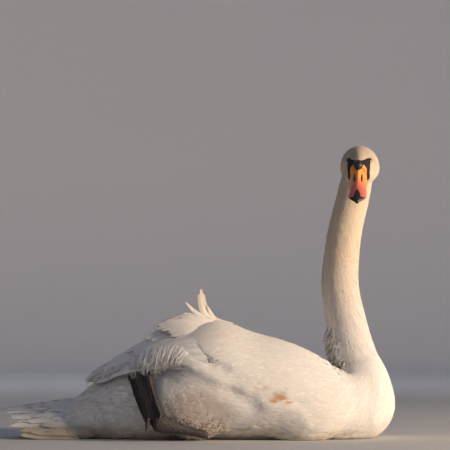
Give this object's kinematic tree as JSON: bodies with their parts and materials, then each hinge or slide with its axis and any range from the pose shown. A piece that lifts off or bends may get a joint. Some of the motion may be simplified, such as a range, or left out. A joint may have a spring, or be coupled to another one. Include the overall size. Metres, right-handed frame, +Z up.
{
  "type": "mute swan",
  "caption": "White swan with orange bill resting on its belly, neck raised, head turned aside, one foot drawn up against its flank.",
  "frame": {"origin": "on the floor, at the middle of the flat of the belly", "axes": "+X towards the breast, -Y out of the bird's right side, +Z up"},
  "size_m": [0.7905, 0.3582, 0.5823],
  "materials": {
    "plumage": "soft matt white feathers, slightly creamy, with faint brown soiling low on the flanks",
    "bill_orange": "satin orange horn, redder towards the tip",
    "bill_black": "satin black horn and bare skin",
    "eye_brown": "wet glossy dark brown",
    "leg_skin": "dull grey-black scaled skin",
    "claw": "satin black horn"
  },
  "bodies": {
    "root": {"trunk": "plumage", "neck_lower": "plumage", "neck_middle": "plumage", "neck_upper": "plumage", "head": "plumage", "wing_right": "plumage", "wing_left": "plumage", "thigh_right": "plumage", "thigh_left": "plumage", "tail": "plumage", "tertial_1_right": "plumage", "tertial_2_right": "plumage", "tertial_3_right": "plumage", "tertial_4_right": "plumage", "tertial_5_right": "plumage", "tertial_6_right": "plumage", "primaries_right": "plumage", "tertial_1_left": "plumage", "tertial_2_left": "plumage", "tertial_3_left": "plumage", "tertial_4_left": "plumage", "tertial_5_left": "plumage", "tertial_6_left": "plumage", "primaries_left": "plumage", "bill_upper": "bill_orange", "bill_lower": "bill_black", "bill_knob": "bill_black", "bill_nail": "bill_black", "eye_right": "eye_brown", "eye_left": "eye_brown", "tarsus_right": "leg_skin", "tarsus_left": "leg_skin", "foot_right": "leg_skin", "foot_left": "leg_skin", "hallux_right": "leg_skin", "claw_right_inner": "claw", "claw_right_middle": "claw", "claw_right_outer": "claw", "claw_left_inner": "claw", "claw_left_middle": "claw", "claw_left_outer": "claw"}
  },
  "joints": []
}
